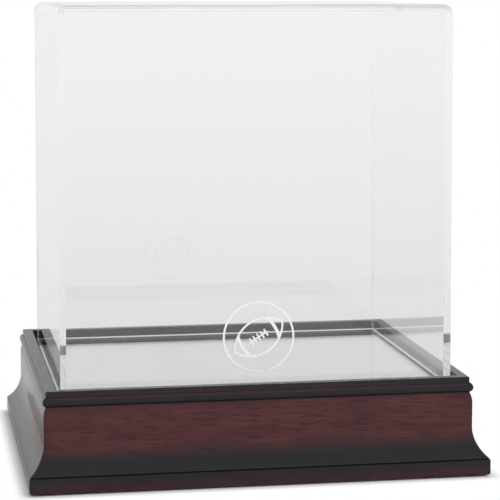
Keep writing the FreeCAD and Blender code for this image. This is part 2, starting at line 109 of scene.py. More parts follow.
def add_node(
    tree: Tree, kind: str, sockets: dict[Any, Any] | Sequence[Any] = (), **settings: Any
) -> Node:
    """Adds one node with its settings, and sets or links its inputs.

    Args:
        tree: the node tree that takes the node.
        kind: the node's type, without its ShaderNode prefix.
        sockets: what feeds its inputs, as for fill.
        settings: the node's own properties, before the usual ones.

    Returns:
        The new node.
    """
    node = tree.nodes.new("ShaderNode" + kind)
    for name, value in (USUAL.get(kind, {}) | settings).items():
        setattr(node, name, value)
    fill(tree, node, sockets)
    return node


def patches(tree: Tree, size: Sequence[float], detail: float = 2.0, place: Any = None) -> Node:
    """Adds a pattern whose patches are about as large as the given size.

    Args:
        tree: the node tree.
        size: the patches' size along each axis, in millimetres.
        detail: how many finer layers the pattern has.
        place: coordinates in metres; the piece's own where none are given.

    Returns:
        A value from 0 to 1, mostly near 0.5.
    """
    if place is None:
        place = add_node(tree, "TexCoord").outputs["Object"]
    scale = tuple(1.0 / (MM * length) for length in size)
    mapped = add_node(tree, "Mapping", {"Vector": place, "Scale": scale})
    return add_node(tree, "TexNoise", {"Vector": mapped, "Scale": 1.0, "Detail": detail})


def arc(centre: Sequence[float], radius: float, start: float, end: float, steps: int) -> np.ndarray:
    """Points on a circular arc: centre plus radius times cosine and sine of an even sweep.

    Args:
        centre: the arc's centre.
        radius: its radius.
        start: the first angle, in degrees.
        end: the last angle, in degrees.
        steps: the number of chords.

    Returns:
        An array of steps + 1 points.
    """
    turn = np.radians(np.linspace(start, end, steps + 1))
    return np.asarray(centre, float) + radius * np.stack([np.cos(turn), np.sin(turn)], axis=1)


def guarded(outline: np.ndarray, margin: float, closed: bool) -> np.ndarray:
    """Adds a point near each end of every run that is longer than four margins.

    Smooth shading then bends only within the margin of a run's ends, and the flats stay flat to the eye.

    Args:
        outline: points in order.
        margin: the distance of the added points from a run's ends.
        closed: whether the last point joins the first.

    Returns:
        The outline with the added points.
    """
    after = np.roll(outline, -1, axis=0)
    step = after - outline
    length = np.linalg.norm(step, axis=1)
    long_run = length > 4.0 * margin
    if not closed:
        long_run[-1] = False
    unit = step / np.maximum(length, 1e-9)[:, None]
    slots = np.stack([outline, outline + unit * margin, after - unit * margin], axis=1)
    keep = np.stack([np.ones_like(long_run), long_run, long_run], axis=1)
    return slots[keep]


def swept_faces(stations: int, around: int, ring: bool) -> list[list[int]]:
    """Faces of a closed section carried through stations, as quads with two end caps.

    Args:
        stations: the number of sections.
        around: the number of points in a section, in anticlockwise order seen from the last station.
        ring: whether the last station joins the first, which leaves no caps.

    Returns:
        Lists of point numbers.
    """
    place = np.arange(stations * around).reshape(stations, around)
    ahead = np.roll(place, -1, axis=0) if ring else place[1:]
    here = place if ring else place[:-1]
    turned = [np.roll(rows, -1, axis=1) for rows in (here, ahead)]
    quads = np.stack([here, turned[0], turned[1], ahead], axis=-1).reshape(-1, 4).tolist()
    if not ring:
        quads += [place[0, ::-1].tolist(), place[-1].tolist()]
    return quads


def set_out(name: str, data: bpy.types.ID) -> Piece:
    """Adds an object that shows a mesh, lamp or camera to the scene.

    Args:
        name: the object's name.
        data: what it shows.

    Returns:
        The new object, at the origin.
    """
    piece = bpy.data.objects.new(name, data)
    bpy.context.scene.collection.objects.link(piece)
    return piece


def make_piece(
    name: str, points: np.ndarray, faces: list[list[int]], finish: Material, body: Body
) -> Piece:
    """Makes a smooth-shaded mesh piece that rides on a body.

    Args:
        name: the piece's name.
        points: its points in metres.
        faces: lists of point numbers, anticlockwise from outside.
        finish: its material.
        body: the body that it moves with.

    Returns:
        The new object, at the origin.
    """
    mesh = bpy.data.meshes.new(name)
    mesh.from_pydata(points.reshape(-1, 3).tolist(), [], faces, shade_flat=False)
    mesh.set_sharp_from_angle(angle=SHARP_EDGE)
    mesh.materials.append(finish)
    piece = set_out(name, mesh)
    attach(piece, body.value)
    return piece


def share_faces(piece: Piece, *shares: tuple[Material, int]) -> None:
    """Gives the last faces of a piece to other materials.

    Args:
        piece: the piece.
        shares: each material, and how many faces it gets in turn.
    """
    for finish, _ in shares:
        piece.data.materials.append(finish)
    counts = [count for _, count in shares]
    counts.insert(0, len(piece.data.polygons) - sum(counts))
    piece.data.polygons.foreach_set("material_index", np.repeat(np.arange(len(counts)), counts))


# Finishes

@dataclass(frozen=True)
class Finish:
    """A surface finish that fills one Principled shader."""

    name: str = "plain"

    def dress(self, tree: Tree, shader: Node) -> None:
        """Adds the finish's nodes and sets the shader's sockets.

        Args:
            tree: the material's node tree.
            shader: its Principled shader.
        """
        raise NotImplementedError

    def material(self) -> Material:
        """Makes the material and dresses its shader.

        Returns:
            The new material.
        """
        made = bpy.data.materials.new(self.name)
        made.use_nodes = True
        self.dress(made.node_tree, made.node_tree.nodes["Principled BSDF"])
        return made

    def put_on(self, *nodes: str) -> list[Piece]:
        """Makes the material and puts it on some of the frame's own nodes.

        Args:
            nodes: the nodes' names.

        Returns:
            Their objects.
        """
        made = self.material()
        dressed = [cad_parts[node] for node in nodes]
        for piece in dressed:
            for holder in piece.material_slots:
                holder.material = made
        return dressed


@dataclass(frozen=True)
class MahoganyLacquer(Finish):
    """Hardwood stained mahogany red, its edges sprayed black, under a clear satin-gloss lacquer.

    The eye gets a deep red field with short dark pore strokes along the grain, edges that fade to black,
    and a clean film on top that turns pale grey at grazing angles.
    """

    name: str = "mahogany_stain_under_clear_lacquer"
    stain_light: str = "#5a292c"
    stain_deep: str = "#431e22"
    stain_range: Pair = (0.5, 1.0)
    pore_dark: str = "#1c0d0f"
    edge_black: str = "#19191d"
    figure: Triple = (30.0, 6.0, 1.0)
    fibre: Triple = (15.0, 0.9, 1.0)
    wander: Triple = (16.0, 5.0, 1.0)
    drift: float = 1.6
    pore_cell: Pair = (25.0, 2.1)
    pore_width: float = 0.3
    fleck_cell: Pair = (10.0, 1.2)
    fleck_width: float = 0.34
    stroke_chance: Pair = (0.2, 0.8)
    pore_share: float = 0.6
    pore_depth: float = 0.03
    pore_strength: float = 0.5
    spray_uneven: float = 0.16
    wood_rough: Pair = (0.42, 0.56)
    film_weight: float = 0.75
    film_rough: float = 0.09
    film_bending: float = 1.42
    film_peel: float = 2.4
    peel_depth: float = 0.006
    peel_strength: float = 0.35

    def strokes(self, tree: Tree, grain: Node, cell: Pair, width: float) -> Node:
        """Adds short dark strokes, one in most cells of a stretched cell pattern.

        Args:
            tree: the node tree.
            grain: coordinates in metres, the first along the grain.
            cell: a cell's length and width in millimetres.
            width: a stroke's reach from its middle, as a share of the cell.

        Returns:
            A value from 0 between the strokes to 1 in them.
        """
        scale = (1.0 / (MM * cell[0]), 1.0 / (MM * cell[1]), 1.0)
        mapped = add_node(tree, "Mapping", {"Vector": grain, "Scale": scale})
        cells = add_node(tree, "TexVoronoi", {"Vector": mapped, "Scale": 1.0}, voronoi_dimensions="2D")
        apart = cells.outputs["Distance"]
        reach = add_node(tree, "MapRange", (apart, 0.25 * width, width, 1.0, 0.0))
        chance = add_node(tree, "SeparateColor", (cells.outputs["Color"],))
        weight = add_node(tree, "MapRange", (chance, *self.stroke_chance))
        return add_node(tree, "Math", (reach, weight), operation="MULTIPLY")

    def dress(self, tree: Tree, shader: Node) -> None:
        """Lays figure, fibre and pore strokes along the grain map, then the black edges and the film.

        Args:
            tree: the material's node tree.
            shader: its Principled shader.
        """
        straight = add_node(tree, "UVMap", uv_map="grain")
        bend = patches(tree, self.wander, 2.0, straight)
        shift = add_node(tree, "VectorMath", {0: (0.0, self.drift * MM, 0.0), 3: bend}, operation="SCALE")
        grain = add_node(tree, "VectorMath", (straight, shift), operation="ADD")
        figure = patches(tree, self.figure, 3.0, grain)
        fibre = patches(tree, self.fibre, 2.0, grain)
        # Real pores are 0.2 mm wide; they are drawn wider here so that they show at the picture's scale.
        long_pores = self.strokes(tree, grain, self.pore_cell, self.pore_width)
        short_pores = self.strokes(tree, grain, self.fleck_cell, self.fleck_width)
        stroke = add_node(tree, "Math", (long_pores, short_pores), operation="MAXIMUM")
        tone = add_node(tree, "Math", (fibre, 0.5, figure), operation="MULTIPLY_ADD")
        pale = add_node(tree, "MapRange", (tone, *self.stain_range))
        stain = add_node(tree, "Mix", {0: pale, 6: linear(self.stain_deep), 7: linear(self.stain_light)})
        dark = add_node(tree, "Math", (stroke, self.pore_share), operation="MULTIPLY")
        wood = add_node(tree, "Mix", {0: dark, 6: stain, 7: linear(self.pore_dark)})
        burnish = add_node(tree, "Attribute", attribute_name="burnish").outputs["Fac"]
        swing = (figure, self.spray_uneven, -self.spray_uneven / 2.0)
        uneven = add_node(tree, "Math", swing, operation="MULTIPLY_ADD")
        sprayed = add_node(tree, "Math", (burnish, uneven), operation="ADD", use_clamp=True)
        sunk = add_node(tree, "Math", (1.0, stroke), operation="SUBTRACT")
        pores = {"Height": sunk, "Distance": self.pore_depth * MM, "Strength": self.pore_strength}
        peel = patches(tree, (self.film_peel,) * 3, 1.0)
        film = {"Height": peel, "Distance": self.peel_depth * MM, "Strength": self.peel_strength}
        fill(tree, shader, {
            "Base Color": add_node(tree, "Mix", {0: sprayed, 6: wood, 7: linear(self.edge_black)}),
            "Roughness": add_node(tree, "MapRange", (fibre, *NOISE_RANGE, *self.wood_rough)),
            "Specular IOR Level": 0.0,
            "Normal": add_node(tree, "Bump", pores),
            "Coat Weight": self.film_weight,
            "Coat Roughness": self.film_rough,
            "Coat IOR": self.film_bending,
            "Coat Normal": add_node(tree, "Bump", film),
        })


@dataclass(frozen=True)
class ClearAcrylic(Finish):
    """Extruded clear acrylic sheet with polished faces.

    The eye gets clear plates with a trace of cool grey, sharp reflections and bright edges.  Lamp light and
    scattered light pass straight through, so that what stands inside is lit as in a real case.
    """

    name: str = "clear_polished_acrylic"
    tint: str = "#f8f8f9"
    bending: float = 1.49
    passage: str = "#fafafb"
    haze: float = 34.0
    haze_range: Pair = (0.35, 0.75)
    haze_rough: Pair = (0.0, 0.012)

    def dress(self, tree: Tree, shader: Node) -> None:
        """Makes refracting glass for what is seen and clear passage for light on its way.

        Args:
            tree: the material's node tree.
            shader: its Principled shader.
        """
        cloud = patches(tree, (self.haze,) * 3)
        fill(tree, shader, {
            "Base Color": linear(self.tint),
            "Roughness": add_node(tree, "MapRange", (cloud, *self.haze_range, *self.haze_rough)),
            "Transmission Weight": 1.0,
            "IOR": self.bending,
        })
        path = add_node(tree, "LightPath")
        passage = add_node(tree, "BsdfTransparent", {"Color": linear(self.passage)})
        seen = shader
        for ray in ("Is Shadow Ray", "Is Diffuse Ray"):
            seen = add_node(tree, "MixShader", (path.outputs[ray], seen, passage))
        fill(tree, tree.nodes["Material Output"], {"Surface": seen})


@dataclass(frozen=True)
class CementFilm(Finish):
    """Solvent cement, dried between two sheets.

    The eye gets joints with a faint milky streakiness on the walls.  Along the top, a grey cast is painted
    shade for the dark band seen there; it stops short of the inner edge, which leaves a clear line.
    """

    name: str = "dried_solvent_cement_and_painted_shade"
    # Painted shade: the grey along the top joint stands in for the dark band seen there.
    grey: str = "#8f9296"
    milk: str = "#fafafb"
    streak: Triple = (48.0, 0.5, 1.0)
    streak_range: Pair = (0.36, 0.62)
    streak_share: Pair = (0.6, 1.0)
    clear_line: Pair = (1.65, 2.25)
    top_half: float = 87.0
    top_to_wall: float = 8.0
    top_painted_shade: float = 0.15
    wall_cast: float = 0.1
    rough: float = 0.3

    def dress(self, tree: Tree, shader: Node) -> None:
        """Lets the milky cast on the walls and the painted shade along the top show by alpha, by the way
        across and along the joint.

        Args:
            tree: the material's node tree.
            shader: its Principled shader.
        """
        seam = add_node(tree, "Attribute", attribute_name="seam").outputs["Vector"]
        way = add_node(tree, "SeparateXYZ", (seam,))
        from_middle = add_node(tree, "Math", (way.outputs["X"],), operation="ABSOLUTE")
        turn = (self.top_half * MM, (self.top_half + self.top_to_wall) * MM)
        wall = add_node(tree, "MapRange", (from_middle, *turn))
        inner_edge = (self.clear_line[0] * MM, self.clear_line[1] * MM)
        # Painted shade along the top, fading out short of the inner edge.
        top = add_node(tree, "MapRange", (way.outputs["Y"], *inner_edge, self.top_painted_shade, 0.0))
        cast = add_node(tree, "Mix", {0: wall, 2: top, 3: self.wall_cast}, data_type="FLOAT")
        threads = patches(tree, self.streak, 2.0, seam)
        streak = add_node(tree, "MapRange", (threads, *self.streak_range, *self.streak_share))
        fill(tree, shader, {
            "Base Color": add_node(tree, "Mix", {0: wall, 6: linear(self.grey), 7: linear(self.milk)}),
            "Roughness": self.rough,
            "Alpha": add_node(tree, "Math", (cast, streak), operation="MULTIPLY"),
        })


@dataclass(frozen=True)
class SilveredMirror(Finish):
    """The silver on the back of a mirror sheet.

    The eye gets a clean bright image, a little greyer than what it shows.
    """

    name: str = "mirror_silver"
    dark: str = "#dbdcdd"
    light: str = "#dfe0e1"
    roll: float = 60.0
    rough: Pair = (0.008, 0.022)

    def dress(self, tree: Tree, shader: Node) -> None:
        """Makes a near-perfect reflector with a very faint unevenness of the roll, and no relief.

        Args:
            tree: the material's node tree.
            shader: its Principled shader.
        """
        wave = patches(tree, (self.roll,) * 3, 1.0)
        fill(tree, shader, {
            "Base Color": add_node(tree, "Mix", {0: wave, 6: linear(self.dark), 7: linear(self.light)}),
            "Roughness": add_node(tree, "MapRange", (wave, *NOISE_RANGE, *self.rough)),
            "Metallic": 1.0,
        })


@dataclass(frozen=True)
class PressedBoard(Finish):
    """Board pressed from wood fibre, such as fibreboard or hardboard.

    The eye gets a matt brown or black with fine felted fibre and faint cloudy tone.
    """

    name: str = "pressed_fibreboard"
    dark: str = "#8a6b49"
    light: str = "#a98a66"
    felt: float = 1.3
    cloud: float = 24.0
    tone_range: Pair = (0.7, 1.3)
    rough: Pair = (0.58, 0.78)
    specular: float = 0.3
    depth: float = 0.08
    strength: float = 0.45

    def dress(self, tree: Tree, shader: Node) -> None:
        """Felts fine fibre over a cloudy tone.

        Args:
            tree: the material's node tree.
            shader: its Principled shader.
        """
        felt = patches(tree, (self.felt,) * 3, 3.0)
        cloud = patches(tree, (self.cloud,) * 3)
        both = add_node(tree, "Math", (felt, cloud), operation="ADD")
        tone = add_node(tree, "MapRange", (both, *self.tone_range))
        fibres = {"Height": felt, "Distance": self.depth * MM, "Strength": self.strength}
        fill(tree, shader, {
            "Base Color": add_node(tree, "Mix", {0: tone, 6: linear(self.dark), 7: linear(self.light)}),
            "Roughness": add_node(tree, "MapRange", (felt, *NOISE_RANGE, *self.rough)),
            "Specular IOR Level": self.specular,
            "Normal": add_node(tree, "Bump", fibres),
        })


@dataclass(frozen=True)
class SawnPine(Finish):
    """Sawn pine for hidden blocks, its grain upright.

    The eye gets pale straw wood with darker growth lines and a rough saw surface.
    """

    name: str = "sawn_pine"
    early: str = "#d9b988"
    late: str = "#b98a55"
    saw_mark: str = "#9a6f41"
    rings: Triple = (3.2, 3.2, 60.0)
    late_range: Pair = (0.42, 0.66)
    fibre: Triple = (0.6, 0.6, 14.0)
    mark_range: Pair = (0.5, 0.8)
    mark_share: Pair = (0.0, 0.35)
    rough: Pair = (0.62, 0.8)
    depth: float = 0.1
    strength: float = 0.5

    def dress(self, tree: Tree, shader: Node) -> None:
        """Draws growth lines and saw marks along the grain.

        Args:
            tree: the material's node tree.
            shader: its Principled shader.
        """
        rings = patches(tree, self.rings)
        fibre = patches(tree, self.fibre)
        late = add_node(tree, "MapRange", (rings, *self.late_range))
        wood = add_node(tree, "Mix", {0: late, 6: linear(self.early), 7: linear(self.late)})
        marks = add_node(tree, "MapRange", (fibre, *self.mark_range, *self.mark_share))
        sawn = {"Height": fibre, "Distance": self.depth * MM, "Strength": self.strength}
        fill(tree, shader, {
            "Base Color": add_node(tree, "Mix", {0: marks, 6: wood, 7: linear(self.saw_mark)}),
            "Roughness": add_node(tree, "MapRange", (fibre, *NOISE_RANGE, *self.rough)),
            "Normal": add_node(tree, "Bump", sawn),
        })


@dataclass(frozen=True)
class MottledFinish(Finish):
    """A fine even mottling that shades colour, gloss and relief together."""

    dark: str = "#808080"
    light: str = "#a0a0a0"
    size: Triple = (0.5, 0.5, 0.5)
    rough: Pair = (0.6, 0.8)
    depth: float = 0.05
    strength: float = 0.5
    metallic: float = 0.0
    specular: float = 0.5

    def dress(self, tree: Tree, shader: Node) -> None:
        """Goes from dark to light, and from the first roughness to the second, over the mottling.

        Args:
            tree: the material's node tree.
            shader: its Principled shader.
        """
        mottle = patches(tree, self.size)
        tone = add_node(tree, "MapRange", (mottle, *NOISE_RANGE))
        relief = {"Height": mottle, "Distance": self.depth * MM, "Strength": self.strength}
        fill(tree, shader, {
            "Base Color": add_node(tree, "Mix", {0: tone, 6: linear(self.dark), 7: linear(self.light)}),
            "Roughness": add_node(tree, "MapRange", (mottle, *NOISE_RANGE, *self.rough)),
            "Metallic": self.metallic,
            "Specular IOR Level": self.specular,
            "Normal": add_node(tree, "Bump", relief),
        })


@dataclass(frozen=True)
class EtchedFrost(MottledFinish):
    """Acrylic that a laser or a saw has roughened: a fine white frost of tiny pits.

    The eye gets soft white lines that stay white from any side.  The pits are drawn larger than real ones,
    which would be too fine to show.
    """

    name: str = "laser_etched_acrylic_frost"
    dark: str = "#eef0f1"
    light: str = "#fbfcfc"
    rough: Pair = (0.5, 0.75)
    depth: float = 0.02
    strength: float = 0.4


@dataclass(frozen=True)
class FoamTape(MottledFinish):
    """White closed-cell foam tape.

    The eye gets a matt white with the cut cells as a fine mottling.
    """

    name: str = "white_foam_tape"
    dark: str = "#cfcfca"
    light: str = "#eeeeea"
    size: Triple = (0.7, 0.7, 0.7)
    rough: Pair = (0.7, 0.9)
    depth: float = 0.1


@dataclass(frozen=True)
class PlatedSteel(MottledFinish):
    """Steel fasteners, drawn or zinc plated.

    The eye gets a cool grey metal with fine drawing lines and a slightly milky gloss.
    """

    name: str = "zinc_plated_steel"
    dark: str = "#9a9ea1"
    light: str = "#c3c6c8"
    size: Triple = (0.25, 0.25, 3.0)
    rough: Pair = (0.22, 0.42)
    depth: float = 0.01
    strength: float = 0.4
    metallic: float = 1.0


@dataclass(frozen=True)
class MouldedRubber(MottledFinish):
    """Black rubber foot.

    The eye gets a matt black with a fine moulded grain.
    """

    name: str = "moulded_black_rubber"
    dark: str = "#161617"
    light: str = "#2a2a2b"
    specular: float = 0.35


# Sub-assemblies

@dataclass
class BaseMouldings:
    """Four mitred mouldings: plinth, cove, field, roll, bead and rim, one section all round."""

    plinth_width: float = 216.0
    plinth_depth: float = 183.0
    foot_height: float = 0.8
    height: float = 45.5
    thickness: float = 20.0
    plinth_band: float = 7.2
    plinth_round: float = 0.8
    shoulder_inset: float = 0.45
    shoulder_rise: float = 0.6
    cove_height: float = 14.3
    field_inset: float = 7.2
    field_drop: float = 12.3
    bead_drop: float = 4.9
    bead_radius: float = 2.5
    bead_proud: float = 0.3
    groove_depth: float = 1.2
    rim_setback: float = 1.25
    rim_width: float = 5.05
    rim_round: float = 0.6
    rim_ease: float = 0.4
    ledge: float = 31.7
    bottom_rabbet: float = 5.0
    rabbet_height: float = 3.5
    arris_round: float = 0.7
    quirk_depth: float = 0.55
    quirk_drop: float = 0.2
    shading_margin: float = 0.25
    arris_turns: tuple[float, ...] = (45.0, 34.0, 22.5, 11.0, 0.0)
    plain_steps: tuple[float, ...] = (1.2, 2.2, 4.0, 8.0, 18.0, 40.0)
    rim_blend: float = 3.0
    # Height over the moulding's foot, and the share of black spray there.
    spray: tuple[Pair, ...] = (
        (0.0, 0.5), (2.4, 0.7), (5.5, 1.0), (13.0, 1.0), (15.5, 0.72), (18.5, 0.22), (22.0, 0.06),
        (36.5, 0.06), (38.3, 0.35), (38.8, 1.0), (41.2, 1.0), (42.1, 0.7), (42.9, 0.74), (43.8, 0.93),
        (45.5, 0.9),
    )
    mitre_spray: float = 0.28
    mitre_fade: float = 2.5
    wood_step: Pair = (310.0, 170.0)
    finish: MahoganyLacquer = MahoganyLacquer()

    def section(self) -> np.ndarray:
        """The moulding's section, anticlockwise from its outer foot.

        Straight runs joined by arcs: a round at the foot and rim, a bead of bead_radius, a roll and a cove
        whose circles touch the field.

        Returns:
            Points (inset from the plinth's face, height over the moulding's foot) in millimetres.
        """
        rim_outer = self.field_inset + self.rim_setback
        rim_inner = rim_outer + self.rim_width
        bead_centre = (self.field_inset - self.bead_proud + self.bead_radius, self.height - self.bead_drop)
        field_top = self.height - self.field_drop
        shoulder = self.plinth_band + self.shoulder_rise
        cove_top = shoulder + self.cove_height
        groove = self.field_inset + self.groove_depth
        upper = math.degrees(math.acos((bead_centre[0] - rim_outer) / self.bead_radius))
        lower = math.degrees(math.acos((bead_centre[0] - groove) / self.bead_radius))
        groove_height = bead_centre[1] - self.bead_radius * math.sin(math.radians(lower))
        roll_rise = groove_height - field_top
        roll_radius = (roll_rise ** 2 + self.groove_depth ** 2) / (2.0 * self.groove_depth)
        roll_turn = math.degrees(math.asin(roll_rise / roll_radius))
        cove_run = self.field_inset - self.shoulder_inset
        cove_radius = (self.cove_height ** 2 + cove_run ** 2) / (2.0 * cove_run)
        cove_turn = math.degrees(math.asin(self.cove_height / cove_radius))
        inner = self.thickness - self.bottom_rabbet
        ease_centre = (rim_inner - self.rim_ease, self.height - self.rim_ease)
        rim_centre = (rim_outer + self.rim_round, self.height - self.rim_round)
        runs = [
            [(self.plinth_round, 0.0), (inner, 0.0), (inner, self.rabbet_height)],
            [(self.thickness, self.rabbet_height), (self.thickness, self.ledge), (rim_inner, self.ledge)],
            arc(ease_centre, self.rim_ease, 0.0, 90.0, 6),
            arc(rim_centre, self.rim_round, 90.0, 180.0, 8),
            arc(bead_centre, self.bead_radius, 180.0 - upper, 180.0 + lower, 28),
            arc((self.field_inset + roll_radius, field_top), roll_radius, 180.0 - roll_turn, 180.0, 12)[1:],
            arc((self.field_inset - cove_radius, cove_top), cove_radius, 0.0, -cove_turn, 32),
            [(self.shoulder_inset + self.quirk_depth, shoulder - self.quirk_drop), (0.0, self.plinth_band)],
            arc((self.plinth_round, self.plinth_round), self.plinth_round, 180.0, 270.0, 8)[:-1],
        ]
        return guarded(np.concatenate([np.asarray(run, float) for run in runs]), self.shading_margin, True)

    def stations(self, half: float, section: np.ndarray) -> tuple[np.ndarray, np.ndarray, np.ndarray]:
        """Places of the section along a moulding, with the vertical arris of each mitre rounded over.

        Near a corner the outer faces follow a quarter turn: distance r(1 - sin a) and inset r(1 - cos a),
        for a from 45 degrees at the mitre to 0.

        Args:
            half: half the moulding's length over its plinth.
            section: the section's points.

        Returns:
            Distance along the moulding, inset, and distance from the nearer mitre, each stations by points.
        """
        turn = np.radians(self.arris_turns)
        reach = np.array(self.plain_steps)
        along = np.concatenate([self.arris_round * (1.0 - np.sin(turn)), self.arris_round + reach])[:, None]
        inward = np.concatenate([self.arris_round * (1.0 - np.cos(turn)), np.zeros(len(reach))])[:, None]
        inset = section[None, :, 0]
        flat = self.field_inset + self.rim_setback + self.rim_round
        outer = np.clip((flat + self.rim_blend - inset) / self.rim_blend, 0.0, 1.0)
        start = along - (1.0 - outer) * along[0, 0]
        left = -half + inset + start
        sunk = inset + inward * outer
        gap = np.broadcast_to(along - along[0, 0], left.shape)
        return (
            np.concatenate([left, -left[::-1]]),
            np.concatenate([sunk, sunk[::-1]]),
            np.concatenate([gap, gap[::-1]]),
        )

    def burnish(self, section: np.ndarray, gap: np.ndarray) -> np.ndarray:
        """How much of the black edge spray lies on each point, from 0 on the field to 1.

        A curve over the height, with a little more near the mitres.

        Args:
            section: the section's points.
            gap: each point's distance from the nearer mitre.

        Returns:
            An array like gap.
        """
        levels, shares = np.array(self.spray).T
        over_height = np.interp(section[:, 1], levels, shares)[None, :]
        return np.clip(over_height + self.mitre_spray * np.exp(-gap / self.mitre_fade), 0.0, 1.0)

    def moulding(self, name: str, length: float, reach: float, quarter: int, finish: Material) -> Piece:
        """Makes one moulding as its section carried from mitre to mitre.

        Args:
            name: the node that the moulding stands for.
            length: its length over the plinth.
            reach: the distance of its plinth face from the middle.
            quarter: quarter turns anticlockwise from the front.
            finish: its material.

        Returns:
            The moulding.
        """
        section = self.section()
        along, inset, gap = self.stations(length / 2.0, section)
        height = np.broadcast_to(section[None, :, 1] + self.foot_height, along.shape)
        out = inset - reach
        cos, sin = [(1, 0), (0, 1), (-1, 0), (0, -1)][quarter]
        points = np.stack([along * cos - out * sin, along * sin + out * cos, height], axis=-1) * MM
        faces = swept_faces(*along.shape, ring=False)
        piece = make_piece(name + "_show", points, faces, finish, Body.BASE)
        self.lay_grain(piece, section, along, quarter)
        shade = piece.data.attributes.new("burnish", "FLOAT", "POINT")
        shade.data.foreach_set("value", self.burnish(section, gap).ravel())
        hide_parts(name)
        return piece

    def lay_grain(self, piece: Piece, section: np.ndarray, along: np.ndarray, quarter: int) -> None:
        """Maps metres along the moulding and round its section to the grain map.

        Args:
            piece: the moulding.
            section: the section's points.
            along: distance along the moulding, stations by points.
            quarter: the moulding's quarter, which picks its own stretch of wood.
        """
        steps = np.linalg.norm(np.diff(section, axis=0, append=section[:1]), axis=1)
        round_it = np.concatenate([[0.0], np.cumsum(steps)])
        first = np.broadcast_to(round_it[:-1], along.shape)
        second = np.broadcast_to(round_it[1:], along.shape)
        beside = np.roll(along, -1, axis=1)
        corners = [
            (along[:-1], first[:-1]),
            (beside[:-1], second[:-1]),
            (beside[1:], second[1:]),
            (along[1:], first[1:]),
        ]
        quads = np.stack([np.stack(corner, axis=-1) for corner in corners], axis=2).reshape(-1, 2)
        caps = np.concatenate([section[::-1], section])
        shift = np.array(self.wood_step) * quarter
        layer = piece.data.uv_layers.new(name="grain")
        layer.data.foreach_set("uv", ((np.concatenate([quads, caps]) + shift) * MM).ravel())

    def build(self) -> list[Piece]:
        """Makes the four mouldings, anticlockwise from the front.

        Returns:
            The mouldings.
        """
        finish = self.finish.material()
        spans = (self.plinth_width, self.plinth_depth)
        return [
            self.moulding(side + "_moulding", spans[at % 2], spans[1 - at % 2] / 2.0, at, finish)
            for at, side in enumerate(("front", "right", "back", "left"))
        ]


@dataclass
class MirrorFloor:
    """The mirror under the cover, a clear sheet with silver behind it; its tape and the deck below."""

    width: float = 185.6
    depth: float = 151.2
    silver_level: float = 39.33
    silver_film: float = 0.01
    sheet: ClearAcrylic = ClearAcrylic(name="clear_mirror_sheet", tint="#fbfbfb")
    silver: SilveredMirror = SilveredMirror()
    tape: FoamTape = FoamTape()
    # Black, as painted shade: it keeps the narrow gap beside the mirror dark to the eye.
    deck: PressedBoard = PressedBoard(name="black_fibreboard_painted_gap_shade", dark="#120f0e", light="#1d1a19")

    def silvering(self) -> Piece:
        """Makes the silver as a thin flat plate just inside the back of the clear sheet.

        Returns:
            The plate.
        """
        half = np.array([self.width, self.depth]) / 2.0
        corners = np.array([(-1.0, -1.0), (1.0, -1.0), (1.0, 1.0), (-1.0, 1.0)]) * half
        points = np.empty((2, 4, 3))
        points[..., :2] = corners
        points[..., 2] = np.array([self.silver_level - self.silver_film, self.silver_level])[:, None]
        faces = swept_faces(2, 4, ring=False)
        finish = self.silver.material()
        return make_piece("mirror_silvering", points * MM, faces, finish, Body.BASE)

    def build(self) -> list[Piece]:
        """Lays the silver, and dresses the mirror's sheet, the tape and the deck.

        Returns:
            The silver and the dressed pieces.
        """
        dressed = [self.silvering()] + self.sheet.put_on("mirror_plate")
        dressed += self.tape.put_on("mirror_tape")
        return dressed + self.deck.put_on("deck_board")


@dataclass
class Underside:
    """Corner blocks, nails, bottom board, screws and feet."""

    block: SawnPine = SawnPine()
    # Bare steel strip, a warmer and darker grey than the plated screws.
    nail: PlatedSteel = PlatedSteel(
        name="bright_strip_steel", dark="#85837f", light="#b4b2ae", size=(0.3, 0.3, 2.0), rough=(0.26, 0.46)
    )
    # Hardboard, pressed smoother and darker than fibreboard.
    board: PressedBoard = PressedBoard(
        name="brown_hardboard", dark="#553620", light="#7a5233", felt=0.9, cloud=30.0, rough=(0.4, 0.6)
    )
    screw: PlatedSteel = PlatedSteel()
    foot: MouldedRubber = MouldedRubber()

    def build(self) -> list[Piece]:
        """Dresses the pieces under the deck.

        Returns:
            The dressed pieces.
        """
        corners = ("front_left", "front_right", "back_right", "back_left")
        dressed = self.block.put_on(*("corner_block_" + corner for corner in corners))
        dressed += self.nail.put_on("mitre_v_nails")
        dressed += self.board.put_on("bottom_board")
        dressed += self.screw.put_on("bottom_board_screws")
        return dressed + self.foot.put_on(*("foot_" + corner for corner in corners))


